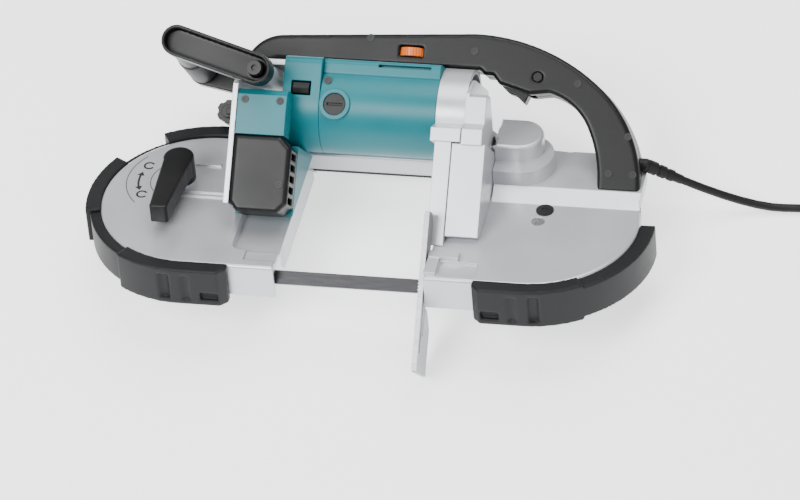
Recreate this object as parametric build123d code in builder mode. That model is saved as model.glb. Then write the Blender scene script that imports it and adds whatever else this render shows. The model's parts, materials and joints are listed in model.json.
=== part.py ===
"""Corded deep-cut portable band saw.

The saw is drawn square to its blade: X runs along the cut, Y points back across the two wheels
and Z is the wheel axis, with the origin in the middle of the blade loop. In the throat the blade
is twisted by 45 degrees, so the motor, the handle and the guides are drawn on planes of the cut:
local x is still X, local y is the way the blade cuts (u) and h counts how far behind the blade.
Every finished piece is then tipped back on to the bench, where the saw stands on its two rear
bumpers and on the tip of its stop plate.
"""
import os
from math import atan2, cos, degrees, hypot, radians, sin, sqrt, tan

from build123d import *

os.makedirs("parts", exist_ok=True)

# ---------------------------------------------------------------- driving dimensions (mm)
BLADE_Y = -84.0
BLADE_R = 82.0
BLADE_WIDTH = 13.0
BLADE_THICK = 0.6
WHEEL_SPACING = 312.4
DRIVE_X = 154.2
IDLER_X = DRIVE_X - WHEEL_SPACING
WHEEL_Y = BLADE_Y + BLADE_R

PAN_SPACING = 306.0
PAN_X = PAN_SPACING / 2
PAN_R = 92.0
PAN_WALL = 3.0
FACE_Z = 16.5
RIM_Z = -16.0
LOW_DECK_Z = 10.5
REAR_DECK_Z = 24.0
THROAT_LEFT = -69.0
THROAT_RIGHT = 66.5
BEAM_Y = 76.0
CAPACITY_U = 112.6

BUMPER_R = 106.0
BUMPER_TOP = 18.5
BUMPER_BOTTOM = -20.0

TYRE_THICK = 2.4
WHEEL_TOP = 7.0
WHEEL_BOTTOM = -7.0
TYRE_R = BLADE_R - BLADE_THICK / 2 - 0.3
RIM_R = TYRE_R - TYRE_THICK
RING_TEETH = 102
RING_MODULE = 1.5
DRIVE_PINION_TEETH = 9

MOTOR_U = 163.3
MOTOR_H = 70.0
MOTOR_R = 41.0
SHAFT_R = 4.0
STAGE_MODULE = 1.25
ARMATURE_TEETH = 8
REDUCTION_TEETH = 38
BEVEL_MODULE = 1.3
BEVEL_PINION_TEETH = 12
BEVEL_GEAR_TEETH = 29
CROSS_SHAFT_X = 133.0

HANDLE_H = 88.0
HANDLE_HALF = 18.5
HANDLE_WALL = 3.0

HOUSING_LEFT = 57.0
COLUMN_LEFT = 61.0
COLUMN_SPLIT = 76.0
COLUMN_RIGHT = 106.5
COLUMN_H = 15.0

STOP_LEFT = 60.5
STOP_RIGHT = 65.8
STOP_FRONT_H = -6.0
STOP_TOP_U = 67.0
STOP_TIP_U = -76.0
STOP_DEPTH_H = 38.0
STOP_TRAVEL = 50.0

CORD_D = 7.6
CORD_R = CORD_D / 2

S45 = sqrt(0.5)

# ---------------------------------------------------------------- places worked out from them
RING_R = RING_TEETH * RING_MODULE / 2
DRIVE_PINION_R = DRIVE_PINION_TEETH * RING_MODULE / 2
CROSS_SHAFT_Y = WHEEL_Y + sqrt((RING_R - DRIVE_PINION_R) ** 2 - (DRIVE_X - CROSS_SHAFT_X) ** 2)
MOTOR_Y = BLADE_Y + (MOTOR_U + MOTOR_H) * S45
MOTOR_Z = (MOTOR_U - MOTOR_H) * S45
STAGE_CENTRES = (ARMATURE_TEETH + REDUCTION_TEETH) * STAGE_MODULE / 2
REDUCTION_Z = MOTOR_Z - sqrt(STAGE_CENTRES**2 - (MOTOR_Y - CROSS_SHAFT_Y) ** 2)
REDUCTION_U = (CROSS_SHAFT_Y - BLADE_Y + REDUCTION_Z) * S45
REDUCTION_H = (CROSS_SHAFT_Y - BLADE_Y - REDUCTION_Z) * S45
BEVEL_PINION_R = BEVEL_PINION_TEETH * BEVEL_MODULE / 2
BEVEL_GEAR_R = BEVEL_GEAR_TEETH * BEVEL_MODULE / 2
BEVEL_Z = REDUCTION_Z - BEVEL_PINION_R


# The three points that touch the bench, as (y, z): both rear bumpers and the stop plate's tip.
REST_REAR = (BUMPER_R, BUMPER_BOTTOM)
REST_FRONT = (BLADE_Y + (STOP_TIP_U + STOP_DEPTH_H) * S45, (STOP_TIP_U - STOP_DEPTH_H) * S45)
TILT = atan2(REST_REAR[1] - REST_FRONT[1], REST_REAR[0] - REST_FRONT[0])


TIPPED = Rot(-degrees(TILT), 0, 0)
pieces = {}


def cut_plane(h):
    """Plane square to h, looking at the front of the cut: local x is X and local y is u."""
    return Plane(origin=(0, BLADE_Y + h * S45, -h * S45), x_dir=(1, 0, 0), z_dir=(0, -S45, S45))


def side_plane(x):
    """Plane square to X at this x: local x is h and local y is u."""
    return Plane(origin=(x, BLADE_Y, 0), x_dir=(0, S45, -S45), z_dir=(1, 0, 0))


def up_plane(u):
    """Plane square to u: local x is X and local y is h, with its normal the way u grows."""
    return Plane(origin=(0, BLADE_Y + u * S45, u * S45), x_dir=(1, 0, 0), z_dir=(0, S45, S45))


def cut_point(x, u, h):
    """The point of the saw at these cut coordinates."""
    return Vector(x, BLADE_Y + (u + h) * S45, (u - h) * S45)


def loop_outline(inset):
    """The saw's C shape seen along the wheel axis, drawn this far inside its outer walls."""
    SlotCenterToCenter(PAN_SPACING, 2 * (PAN_R - inset))
    with Locations(((THROAT_LEFT + THROAT_RIGHT) / 2, (BEAM_Y - 2 * PAN_R) / 2 + inset / 2)):
        Rectangle(
            THROAT_RIGHT - THROAT_LEFT + 2 * inset, BEAM_Y + 2 * PAN_R + inset, mode=Mode.SUBTRACT
        )


def box(x0, x1, y0, y1, z0, z1, mode=Mode.ADD):
    """A block between two opposite corners."""
    with Locations(((x0 + x1) / 2, (y0 + y1) / 2, (z0 + z1) / 2)):
        Box(x1 - x0, y1 - y0, z1 - z0, mode=mode)


def cut_box(x0, x1, u0, u1, h0, h1, mode=Mode.ADD):
    """A block square to the cut."""
    with BuildSketch(cut_plane(h1)) as profile:
        with Locations(((x0 + x1) / 2, (u0 + u1) / 2)):
            Rectangle(x1 - x0, u1 - u0)
    extrude(profile.sketch, amount=h1 - h0, mode=mode)


def side_rod(x0, x1, h, u, radius, bore=0.0, mode=Mode.ADD):
    """A rod or tube along X."""
    with BuildSketch(side_plane(x0)) as profile:
        with Locations((h, u)):
            Circle(radius)
            if bore:
                Circle(bore, mode=Mode.SUBTRACT)
    extrude(profile.sketch, amount=x1 - x0, mode=mode)


def cut_rod(x, u, h0, h1, radius, bore=0.0, mode=Mode.ADD):
    """A rod or tube along h."""
    with BuildSketch(cut_plane(h1)) as profile:
        with Locations((x, u)):
            Circle(radius)
            if bore:
                Circle(bore, mode=Mode.SUBTRACT)
    extrude(profile.sketch, amount=h1 - h0, mode=mode)


def wheel_rod(x, y, z0, z1, radius, bore=0.0, mode=Mode.ADD):
    """A rod or tube along the wheel axis."""
    with BuildSketch(Plane.XY.offset(z0)) as profile:
        with Locations((x, y)):
            Circle(radius)
            if bore:
                Circle(bore, mode=Mode.SUBTRACT)
    extrude(profile.sketch, amount=z1 - z0, mode=mode)


# ================================================================ frame casting
# The raised deck at the rear right carries the gear cover and the handle's foot.
with BuildPart() as rear_deck:
    with BuildSketch(Plane.XY.offset(FACE_Z - PAN_WALL)):
        SlotCenterToCenter(PAN_SPACING, 2 * PAN_R)
        with Locations((PAN_X + 43, 52)):
            RectangleRounded(90, 80, 24)
    extrude(amount=REAR_DECK_Z - FACE_Z + PAN_WALL)
    with BuildSketch(Plane.YZ.offset(COLUMN_RIGHT + 0.8)):
        with BuildLine():
            Polyline(
                (22, FACE_Z - PAN_WALL), (22, FACE_Z), (38, REAR_DECK_Z),
                (PAN_R, REAR_DECK_Z), (PAN_R, FACE_Z - PAN_WALL), close=True,
            )
        make_face()
    extrude(amount=PAN_SPACING, mode=Mode.INTERSECT)

with BuildPart() as frame:
    with BuildSketch(Plane.XY.offset(RIM_Z)):
        loop_outline(0)
    extrude(amount=FACE_Z - RIM_Z)
    fillet(frame.faces().sort_by(Axis.Z)[-1].outer_wire().edges(), 3)
    with BuildSketch(Plane.XY.offset(RIM_Z)):
        loop_outline(PAN_WALL)
    extrude(amount=FACE_Z - RIM_Z - PAN_WALL, mode=Mode.SUBTRACT)
    add(rear_deck.part)
    box(116, 226, 44, 85, FACE_Z - PAN_WALL - 1, REAR_DECK_Z - PAN_WALL, mode=Mode.SUBTRACT)

    # lowered deck beside the throat, under the lamp
    box(-115, THROAT_LEFT, -70, 63, WHEEL_TOP + 1, FACE_Z - PAN_WALL)
    with BuildSketch(Plane.XY.offset(FACE_Z + 1)):
        with Locations((-87, -4)):
            RectangleRounded(50, 128, 8)
    extrude(amount=LOW_DECK_Z - FACE_Z - 1, taper=12, mode=Mode.SUBTRACT)
    box(-98, THROAT_LEFT + 1, -82, -60, LOW_DECK_Z + 3.5, FACE_Z + 1, mode=Mode.SUBTRACT)

    # ribs on the left face
    box(-176, -125, 2, 4, FACE_Z - 1, FACE_Z + 1.4)
    box(-176, -125, 8, 10, FACE_Z - 1, FACE_Z + 1.4)
    box(-170, -146, 47, 50, FACE_Z - 1, FACE_Z + 1.8)

    # bosses under the deck: spindle, tension shaft, carriage rails and cross shaft
    wheel_rod(DRIVE_X, WHEEL_Y, 9, FACE_Z - 1, 15)
    wheel_rod(-178, 24, 13, FACE_Z + 2.5, 13)
    for rail_y in (-22.8, 40.8):
        box(-192, -124, rail_y - 2, rail_y + 2, 8, FACE_Z - 1)
    wheel_rod(CROSS_SHAFT_X, CROSS_SHAFT_Y, 8.6, REAR_DECK_Z - 1, 15)

    # guide rib and stop-plate boss at the right of the throat
    box(THROAT_RIGHT, 94, -66, -57, FACE_Z - 1, FACE_Z + 4)
    box(THROAT_RIGHT, 77, -PAN_R + 5, -57, FACE_Z - 1, FACE_Z + 3)
    box(THROAT_RIGHT, 72, -77, -56, -3, FACE_Z - 1)
    with BuildSketch(Plane.XY.offset(FACE_Z + 0.5)):
        with Locations((95, -76)):
            RectangleRounded(34, 18, 3)
    extrude(amount=-2.5, mode=Mode.SUBTRACT)

    # the underside of the beam follows the top of the cut
    cut_box(THROAT_LEFT, THROAT_RIGHT, -60, CAPACITY_U, -150, 200, mode=Mode.SUBTRACT)
    # the blade passes through both throat walls
    box(THROAT_LEFT - 6, THROAT_LEFT + 6, -PAN_R + PAN_WALL, -50, RIM_Z - 1, 8, mode=Mode.SUBTRACT)
    box(THROAT_RIGHT - 4, THROAT_RIGHT + 4, -PAN_R + PAN_WALL, -77.5, -8, 8, mode=Mode.SUBTRACT)
    # holes: spindle, tension shaft, cross shaft with its bearing, stop-plate bolts, face plug
    wheel_rod(DRIVE_X, WHEEL_Y, 0, 40, 6, mode=Mode.SUBTRACT)
    wheel_rod(-178, 24, 0, 40, 6.05, mode=Mode.SUBTRACT)
    wheel_rod(CROSS_SHAFT_X, CROSS_SHAFT_Y, 0, 40, 6, mode=Mode.SUBTRACT)
    wheel_rod(CROSS_SHAFT_X, CROSS_SHAFT_Y, 15, 40, 11, mode=Mode.SUBTRACT)
    for bolt_u in (10, 26):
        side_rod(THROAT_RIGHT - 2, 72, 7, bolt_u, 3, mode=Mode.SUBTRACT)
pieces["frame"] = frame.part

# ================================================================ rubber bumpers


def band(centre_x, start, stop, outer, z0, z1):
    """A curved length of bumper round one end of the saw, from one angle to another."""
    inner = PAN_R
    with BuildSketch(Plane.XY.offset(z0)) as profile:
        with BuildLine():
            outside = CenterArc((centre_x, 0), outer, start, stop - start)
            inside = CenterArc((centre_x, 0), inner, start, stop - start)
            Line(outside @ 0, inside @ 0)
            Line(outside @ 1, inside @ 1)
        make_face()
    extrude(profile.sketch, amount=z1 - z0)


def front_block(side, reach):
    """The straight thick block on the front of one pan, from the wheel centre towards the throat."""
    x0, x1 = sorted((side * PAN_X, side * reach))
    with BuildSketch(Plane.XY.offset(BUMPER_BOTTOM)) as profile:
        with Locations(((x0 + x1) / 2, -(PAN_R + BUMPER_R) / 2)):
            Rectangle(x1 - x0, BUMPER_R - PAN_R)
    extrude(profile.sketch, amount=BUMPER_TOP - BUMPER_BOTTOM)
    end = bumper.faces().sort_by(Axis.X)[-1 if side < 0 else 0]
    chamfer(end.edges().sort_by(Axis.Y)[0], 7)


for bumper_name, side, reach, bands in (
    ("bumper_left_front", -1, 110, ((236, 270, 106, -20, 18.5), (196, 236, 102, -17, 15))),
    ("bumper_right_front", 1, 111, ((270, 302, 106, -20, 18.5), (302, 362, 106, -17, 16))),
):
    with BuildPart() as bumper:
        front_block(side, reach)
        for start, stop, outer, z0, z1 in bands:
            band(side * PAN_X, start, stop, outer, z0, z1)
        for groove in (0, 1):
            groove_x = side * (PAN_X - 6 + 20 * groove)
            wheel_rod(groove_x, -BUMPER_R - 4 + 2.5 * groove, BUMPER_BOTTOM + 5, BUMPER_TOP - 6, 6,
                      mode=Mode.SUBTRACT)
        slot_x = side * (reach + 16)
        box(slot_x - 8, slot_x + 8, -BUMPER_R - 1, -BUMPER_R + 4, -14, -6, mode=Mode.SUBTRACT)
    pieces[bumper_name] = bumper.part

for bumper_name, side, reach, bands in (
    ("bumper_left_rear", -1, 126, ((90, 122, 106, -20, 18.5), (122, 150, 98, -16, 13),
                                   (150, 195.5, 106, -18, 17))),
    ("bumper_right_rear", 1, 140, ((62, 90, 106, -20, 11.5), (30, 62, 98, -16, 11))),
):
    with BuildPart() as bumper:
        block_x = side * (PAN_X + reach) / 2
        top = BUMPER_TOP if side < 0 else 11.5
        with BuildSketch(Plane.XY.offset(BUMPER_BOTTOM)):
            with Locations((block_x, (PAN_R + BUMPER_R) / 2)):
                Rectangle(PAN_X - reach, BUMPER_R - PAN_R)
        extrude(amount=top - BUMPER_BOTTOM)
        for start, stop, outer, z0, z1 in bands:
            band(side * PAN_X, start, stop, outer, z0, z1)
    pieces[bumper_name] = bumper.part

# ================================================================ wheels, tyres and spindles
with BuildPart() as drive_wheel:
    wheel_rod(DRIVE_X, WHEEL_Y, WHEEL_BOTTOM, WHEEL_BOTTOM + 3, RIM_R)
    with BuildSketch(Plane.XY.offset(WHEEL_BOTTOM + 3)):
        with Locations((DRIVE_X, WHEEL_Y)):
            Circle(RIM_R)
    extrude(amount=WHEEL_TOP - WHEEL_BOTTOM - 3)
    wheel_rod(DRIVE_X, WHEEL_Y, WHEEL_BOTTOM + 3, WHEEL_TOP + 1, RING_R + 0.9, mode=Mode.SUBTRACT)
    wheel_rod(DRIVE_X, WHEEL_Y, WHEEL_BOTTOM, 4, 17)
    with BuildSketch(Plane.XY.offset(WHEEL_BOTTOM + 3)):
        with Locations((DRIVE_X, WHEEL_Y)):
            for tooth in range(RING_TEETH):
                with PolarLocations(RING_R + 0.8, 1, start_angle=tooth * 360 / RING_TEETH):
                    Rectangle(1.4, 2.2)
    extrude(amount=WHEEL_TOP - WHEEL_BOTTOM - 3)
    with BuildSketch(Plane.XY.offset(WHEEL_BOTTOM)):
        with Locations((DRIVE_X, WHEEL_Y)):
            with PolarLocations(46, 6):
                Circle(13)
    extrude(amount=3, mode=Mode.SUBTRACT)
    wheel_rod(DRIVE_X, WHEEL_Y, WHEEL_BOTTOM - 1, 5, 11, mode=Mode.SUBTRACT)
pieces["drive_wheel"] = drive_wheel.part

with BuildPart() as idler_wheel:
    wheel_rod(IDLER_X, WHEEL_Y, WHEEL_BOTTOM, WHEEL_TOP, RIM_R, RIM_R - 5)
    wheel_rod(IDLER_X, WHEEL_Y, -2, 2, RIM_R - 4, 15)
    wheel_rod(IDLER_X, WHEEL_Y, WHEEL_BOTTOM, 5, 17)
    with BuildSketch(Plane.XY.offset(-3)):
        with Locations((IDLER_X, WHEEL_Y)):
            with PolarLocations(46, 6):
                Circle(15)
    extrude(amount=6, mode=Mode.SUBTRACT)
    wheel_rod(IDLER_X, WHEEL_Y, WHEEL_BOTTOM - 1, 6, 11, mode=Mode.SUBTRACT)
pieces["idler_wheel"] = idler_wheel.part

for tyre_name, wheel_x in (("drive_tyre", DRIVE_X), ("idler_tyre", IDLER_X)):
    with BuildPart() as tyre:
        wheel_rod(wheel_x, WHEEL_Y, WHEEL_BOTTOM, WHEEL_TOP, TYRE_R, RIM_R)
    pieces[tyre_name] = tyre.part

for spindle_name, wheel_x, top in (
    ("drive_spindle", DRIVE_X, FACE_Z - 0.5), ("idler_spindle", IDLER_X, 12.4)
):
    with BuildPart() as spindle:
        wheel_rod(wheel_x, WHEEL_Y, -9, top, 6)
        wheel_rod(wheel_x, WHEEL_Y, -11, -9, 10)
        wheel_rod(wheel_x, WHEEL_Y, -15, -11, 5)
        with BuildSketch(Plane.XY.offset(-15)):
            with Locations((wheel_x, WHEEL_Y)):
                RegularPolygon(2.6, 6)
        extrude(amount=3, mode=Mode.SUBTRACT)
    pieces[spindle_name] = spindle.part

for bearing_name, wheel_x in (("drive_wheel_bearing", DRIVE_X), ("idler_wheel_bearing", IDLER_X)):
    with BuildPart() as bearing:
        wheel_rod(wheel_x, WHEEL_Y, -6, 3, 11, 6.05)
        with BuildSketch(Plane.XY.offset(3)):
            with Locations((wheel_x, WHEEL_Y)):
                Circle(9.6)
                Circle(7.6, mode=Mode.SUBTRACT)
        extrude(amount=-0.6, mode=Mode.SUBTRACT)
    pieces[bearing_name] = bearing.part

# ================================================================ blade
HALF_W = BLADE_WIDTH / 2
TOOTH_PITCH = 1.8
FLAT_LEFT = -104.0
FLAT_RIGHT = 104.0
TWIST_END = 138.0
with BuildPart() as saw_blade:
    # round both wheels and along the back
    with BuildSketch(Plane.XY.offset(-HALF_W)):
        with Locations(((DRIVE_X + IDLER_X) / 2, WHEEL_Y)):
            SlotCenterToCenter(WHEEL_SPACING, 2 * BLADE_R + BLADE_THICK)
            SlotCenterToCenter(WHEEL_SPACING, 2 * BLADE_R - BLADE_THICK, mode=Mode.SUBTRACT)
        with Locations((0, BLADE_Y)):
            Rectangle(2 * TWIST_END, 20, mode=Mode.SUBTRACT)
    extrude(amount=BLADE_WIDTH)
    # flat through the throat at 45 degrees, with its teeth on the lower edge
    with BuildSketch(cut_plane(BLADE_THICK / 2)):
        with BuildLine():
            teeth = int((FLAT_RIGHT - FLAT_LEFT) / TOOTH_PITCH)
            points = [(FLAT_LEFT, HALF_W), (FLAT_RIGHT, HALF_W), (FLAT_RIGHT, 1 - HALF_W)]
            for tooth in range(teeth):
                x = FLAT_RIGHT - tooth * TOOTH_PITCH
                points += [(x - 0.4, -HALF_W), (x - TOOTH_PITCH, 1 - HALF_W)]
            Polyline(*points, (FLAT_LEFT, 1 - HALF_W), close=True)
        make_face()
    extrude(amount=BLADE_THICK)
    # twisting from the guides to the wheels
    for flat_x, straight_x in ((FLAT_LEFT, -TWIST_END), (FLAT_RIGHT, TWIST_END)):
        for step in range(4):
            angle = 45 * step / 3
            station = Plane(
                origin=(straight_x + (flat_x - straight_x) * step / 3, BLADE_Y, 0),
                x_dir=(0, sin(radians(angle)), cos(radians(angle))),
                z_dir=(1, 0, 0),
            )
            with BuildSketch(station):
                Rectangle(BLADE_WIDTH, BLADE_THICK)
        loft()
pieces["saw_blade"] = saw_blade.part

# ================================================================ blade guides and their rollers
ROLLER_R = 5.0
BACK_ROLLER_R = 4.0
FACE_GAP = BLADE_THICK / 2 + 0.3
PIN_R = 2.0


def guide_places(side):
    """X of the face roller, the back roller and the pad of one guide."""
    near_throat = 73.0
    return side * (near_throat + 18), side * (near_throat + 8), side * (near_throat + 1.8)


with BuildPart() as blade_guides:
    for side in (-1, 1):
        face_x, back_x, pad_x = guide_places(side)
        left, right = sorted((face_x + side * 6, pad_x - side * 1.8))
        cut_box(left, right, -8, 15, 11.5, 14.5)
        cut_box(face_x - 4, face_x + 4, 5.9, 8, 2, 12)
        cut_box(face_x - 4, face_x + 4, -8, -5.9, 2, 12)
        with BuildSketch(up_plane(-8)):
            with Locations((face_x, FACE_GAP + ROLLER_R)):
                Circle(PIN_R)
        extrude(amount=16)
        cut_rod(back_x, HALF_W + 0.3 + BACK_ROLLER_R, -2.6, 12, PIN_R)
        cut_box(pad_x - 1.8, pad_x + 1.8, 7, 14, -3.4, 12)
        cut_box(pad_x - 1.8, pad_x + 1.8, -3, 8, -3.4, -FACE_GAP)
pieces["blade_guides"] = blade_guides.part

for side, side_name in ((-1, "left"), (1, "right")):
    face_x, back_x, pad_x = guide_places(side)
    with BuildPart() as face_roller:
        with BuildSketch(up_plane(-5.6)):
            with Locations((face_x, FACE_GAP + ROLLER_R)):
                Circle(ROLLER_R)
                Circle(PIN_R + 0.05, mode=Mode.SUBTRACT)
        extrude(amount=11.2)
    pieces[f"face_roller_{side_name}"] = face_roller.part
    with BuildPart() as back_roller:
        cut_rod(back_x, HALF_W + 0.3 + BACK_ROLLER_R, -2.2, 2.2, BACK_ROLLER_R, PIN_R + 0.05)
    pieces[f"back_roller_{side_name}"] = back_roller.part

# ================================================================ stop plate
SLOT_H = 7.0
with BuildPart() as stop_plate:
    with BuildSketch(side_plane(STOP_LEFT + 1.2)):
        with BuildLine():
            Polyline(
                (STOP_FRONT_H, STOP_TIP_U + 1), (STOP_FRONT_H + 1, STOP_TIP_U),
                (STOP_DEPTH_H, STOP_TIP_U), (STOP_DEPTH_H, -34), (20, -18), (13.5, -18),
                (13.5, STOP_TOP_U - 6), (8, STOP_TOP_U), (STOP_FRONT_H, STOP_TOP_U), close=True,
            )
        make_face()
        # the blade runs through this slot wherever the plate is set
        with Locations((0, (8.5 - STOP_TRAVEL - 8.5) / 2)):
            Rectangle(3.2, STOP_TRAVEL + 17, mode=Mode.SUBTRACT)
        with Locations((SLOT_H, (10 + 26 - STOP_TRAVEL) / 2)):
            SlotCenterToCenter(STOP_TRAVEL + 16, 6.6, rotation=90, mode=Mode.SUBTRACT)
    extrude(amount=STOP_RIGHT - STOP_LEFT - 1.2)
    with BuildSketch(side_plane(STOP_LEFT + 1.2)):
        with Locations((SLOT_H, (10 + 26 - STOP_TRAVEL) / 2)):
            SlotCenterToCenter(STOP_TRAVEL + 16, 10.6, rotation=90)
    extrude(amount=2.2, mode=Mode.SUBTRACT)
    # gripping teeth down the contact face
    with BuildSketch(cut_plane(-1.7)):
        with BuildLine():
            points = [(STOP_LEFT + 1.3, STOP_TIP_U + 2)]
            for tooth in range(46):
                u = STOP_TIP_U + 2 + tooth * 3
                points += [(STOP_LEFT + 1.1, u + 0.1), (STOP_LEFT, u + 1.5), (STOP_LEFT + 1.1, u + 2.9)]
            Polyline(*points, (STOP_LEFT + 1.3, STOP_TIP_U + 140), close=True)
        make_face()
    extrude(amount=-1.7 - STOP_FRONT_H)
pieces["stop_plate"] = stop_plate.part

with BuildPart() as stop_plate_bolts:
    for bolt_u in (10, 26):
        side_rod(STOP_LEFT + 1.3, STOP_LEFT + 3.1, SLOT_H, bolt_u, 5)
        side_rod(STOP_LEFT + 3.1, 72, SLOT_H, bolt_u, 3)
        with BuildSketch(side_plane(STOP_LEFT + 1.3)):
            with Locations((SLOT_H, bolt_u)):
                RegularPolygon(2.3, 6)
        extrude(amount=1.2, mode=Mode.SUBTRACT)
pieces["stop_plate_bolts"] = stop_plate_bolts.part

# ================================================================ blade tension: carriage, cam and lever
LEVER_X, LEVER_Y = -178.0, 24.0
CAM_THROW = 2.25
CAM_R = 8.0
CARRIAGE_Z0, CARRIAGE_Z1 = 8.6, 12.6
with BuildPart() as idler_carriage:
    box(-186, -124.5, -20.4, 38.4, CARRIAGE_Z0, CARRIAGE_Z1)
    wheel_rod(IDLER_X, WHEEL_Y, CARRIAGE_Z0 - 1, CARRIAGE_Z1 + 1, 6, mode=Mode.SUBTRACT)
    with BuildSketch(Plane.XY.offset(CARRIAGE_Z0 - 1)):
        with Locations((LEVER_X - CAM_THROW, LEVER_Y)):
            RectangleRounded(2 * (CAM_R + 0.9), 2 * (CAM_R + CAM_THROW + 0.6), 8)
    extrude(amount=6, mode=Mode.SUBTRACT)
    fillet(idler_carriage.edges().filter_by(Axis.Z).sort_by(Axis.X)[:2], 2)
pieces["idler_carriage"] = idler_carriage.part

with BuildPart() as tension_cam:
    wheel_rod(LEVER_X - CAM_THROW, LEVER_Y, CARRIAGE_Z0 + 0.2, CARRIAGE_Z1 + 0.2, CAM_R)
    wheel_rod(LEVER_X, LEVER_Y, CARRIAGE_Z1, 30, 6)
pieces["tension_cam"] = tension_cam.part

with BuildPart() as tension_lever:
    wheel_rod(LEVER_X, LEVER_Y, FACE_Z + 3, 45, 14)
    with BuildSketch(Plane.XY.offset(FACE_Z + 10)):
        with BuildLine():
            Polyline(
                (LEVER_X - 13, LEVER_Y - 6), (LEVER_X - 10.5, LEVER_Y - 74),
                (LEVER_X + 5.5, LEVER_Y - 74), (LEVER_X + 11, LEVER_Y - 18),
                (LEVER_X + 13, LEVER_Y - 6), close=True,
            )
        make_face()
    extrude(amount=45 - FACE_Z - 10)
    fillet(tension_lever.edges().filter_by(Axis.Z).sort_by(Axis.Y)[:2], 2)
    chamfer(tension_lever.faces().sort_by(Axis.Z)[-1].outer_wire().edges(), 1)
    wheel_rod(LEVER_X, LEVER_Y, FACE_Z, 30, 6, mode=Mode.SUBTRACT)
pieces["tension_lever"] = tension_lever.part

with BuildPart() as tension_spring:
    # a stack of disc springs between the carriage and the end of its guide
    for disc in range(6):
        with BuildSketch(Plane.YZ.offset(-196 + disc * 1.6)):
            with Locations((0, 10.6)):
                Circle(2.6)
        extrude(amount=1.5 if disc < 5 else 1.2)
pieces["tension_spring"] = tension_spring.part

# ================================================================ motor: casings
SEAM_X = -50.0
END_LEFT = -84.0
BRUSH_X = -35.5
BRUSH_U = MOTOR_U - 2
with BuildPart() as motor_housing:
    side_rod(SEAM_X + 0.3, HOUSING_LEFT - 0.3, MOTOR_H, MOTOR_U, MOTOR_R)
    with BuildSketch(side_plane(SEAM_X + 0.3)):
        with Locations((MOTOR_H - 10, MOTOR_U + MOTOR_R - 9)):
            RectangleRounded(46, 17, 5)
    extrude(amount=HOUSING_LEFT - 0.6 - SEAM_X)
    side_rod(SEAM_X - 1, HOUSING_LEFT + 1, MOTOR_H, MOTOR_U, MOTOR_R - 3, mode=Mode.SUBTRACT)
    # brush bosses front and back
    for h0, h1 in ((MOTOR_H - MOTOR_R - 1.5, MOTOR_H - 33), (MOTOR_H + 33, MOTOR_H + MOTOR_R + 1.5)):
        cut_rod(BRUSH_X, BRUSH_U, h0, h1, 14)
    for h0, h1 in ((0, MOTOR_H - 32), (MOTOR_H + 32, 130)):
        cut_rod(BRUSH_X, BRUSH_U, h0, h1, 10.2, mode=Mode.SUBTRACT)
    # groove along the top and the screw well
    cut_box(0, 48, 198, 200.5, 20, 45, mode=Mode.SUBTRACT)
pieces["motor_housing"] = motor_housing.part

with BuildPart() as motor_end_cover:
    with BuildSketch(side_plane(END_LEFT)):
        with Locations((MOTOR_H, MOTOR_U)):
            Circle(MOTOR_R)
        with Locations((MOTOR_H - 19, MOTOR_U + 17)):
            RectangleRounded(44, 47, 7)
    extrude(amount=SEAM_X - END_LEFT)
    with BuildSketch(side_plane(END_LEFT + 3)):
        with Locations((MOTOR_H, MOTOR_U)):
            Circle(MOTOR_R - 3)
    extrude(amount=SEAM_X - END_LEFT, mode=Mode.SUBTRACT)
    # bearing holder and the recess for the lamp switch
    side_rod(END_LEFT + 2, -74, MOTOR_H, MOTOR_U, 12, 9)
    cut_box(-76.5, -58.5, 168, 181, 20, 44, mode=Mode.SUBTRACT)
    side_rod(END_LEFT - 1, END_LEFT + 3.5, MOTOR_H, MOTOR_U, 8, mode=Mode.SUBTRACT)
pieces["motor_end_cover"] = motor_end_cover.part

# ================================================================ motor: inside
CORE_X0, CORE_X1 = -20.0, 33.0
with BuildPart() as stator:
    side_rod(CORE_X0, CORE_X1, MOTOR_H, MOTOR_U, MOTOR_R - 3.2, 20)
    for coil_u in (-1, 1):
        cut_box(CORE_X0 - 6, CORE_X1 + 6, MOTOR_U + coil_u * 28 - 5, MOTOR_U + coil_u * 28 + 5,
                MOTOR_H - 18, MOTOR_H + 18)
pieces["stator"] = stator.part

with BuildPart() as armature:
    side_rod(-79, 81, MOTOR_H, MOTOR_U, 3.4)
    side_rod(-79, 69, MOTOR_H, MOTOR_U, SHAFT_R)
    side_rod(CORE_X0 + 1, CORE_X1 - 1, MOTOR_H, MOTOR_U, 19.2)
    side_rod(CORE_X0 - 6, CORE_X0 + 1, MOTOR_H, MOTOR_U, 15)
    side_rod(CORE_X1 - 1, CORE_X1 + 5, MOTOR_H, MOTOR_U, 15)
    side_rod(-49, -27, MOTOR_H, MOTOR_U, 12)
    with BuildSketch(side_plane(CORE_X0)):
        with Locations((MOTOR_H, MOTOR_U)):
            with PolarLocations(19, 12):
                Rectangle(3, 1.6)
    extrude(amount=CORE_X1 - CORE_X0, mode=Mode.SUBTRACT)
    with BuildSketch(side_plane(70)):
        with Locations((MOTOR_H, MOTOR_U)):
            with PolarLocations(0, 1):
                Circle(ARMATURE_TEETH * STAGE_MODULE / 2 - 1.3)
            with PolarLocations(ARMATURE_TEETH * STAGE_MODULE / 2 - 1, ARMATURE_TEETH):
                Rectangle(1.6, 1.5)
    extrude(amount=11)
pieces["armature"] = armature.part

with BuildPart() as cooling_fan:
    side_rod(41, 44, MOTOR_H, MOTOR_U, 35, SHAFT_R)
    side_rod(41, 54, MOTOR_H, MOTOR_U, 8, SHAFT_R)
    with BuildSketch(side_plane(44)):
        with Locations((MOTOR_H, MOTOR_U)):
            with PolarLocations(22, 11):
                Rectangle(24, 1.6)
    extrude(amount=9)
pieces["cooling_fan"] = cooling_fan.part

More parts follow.
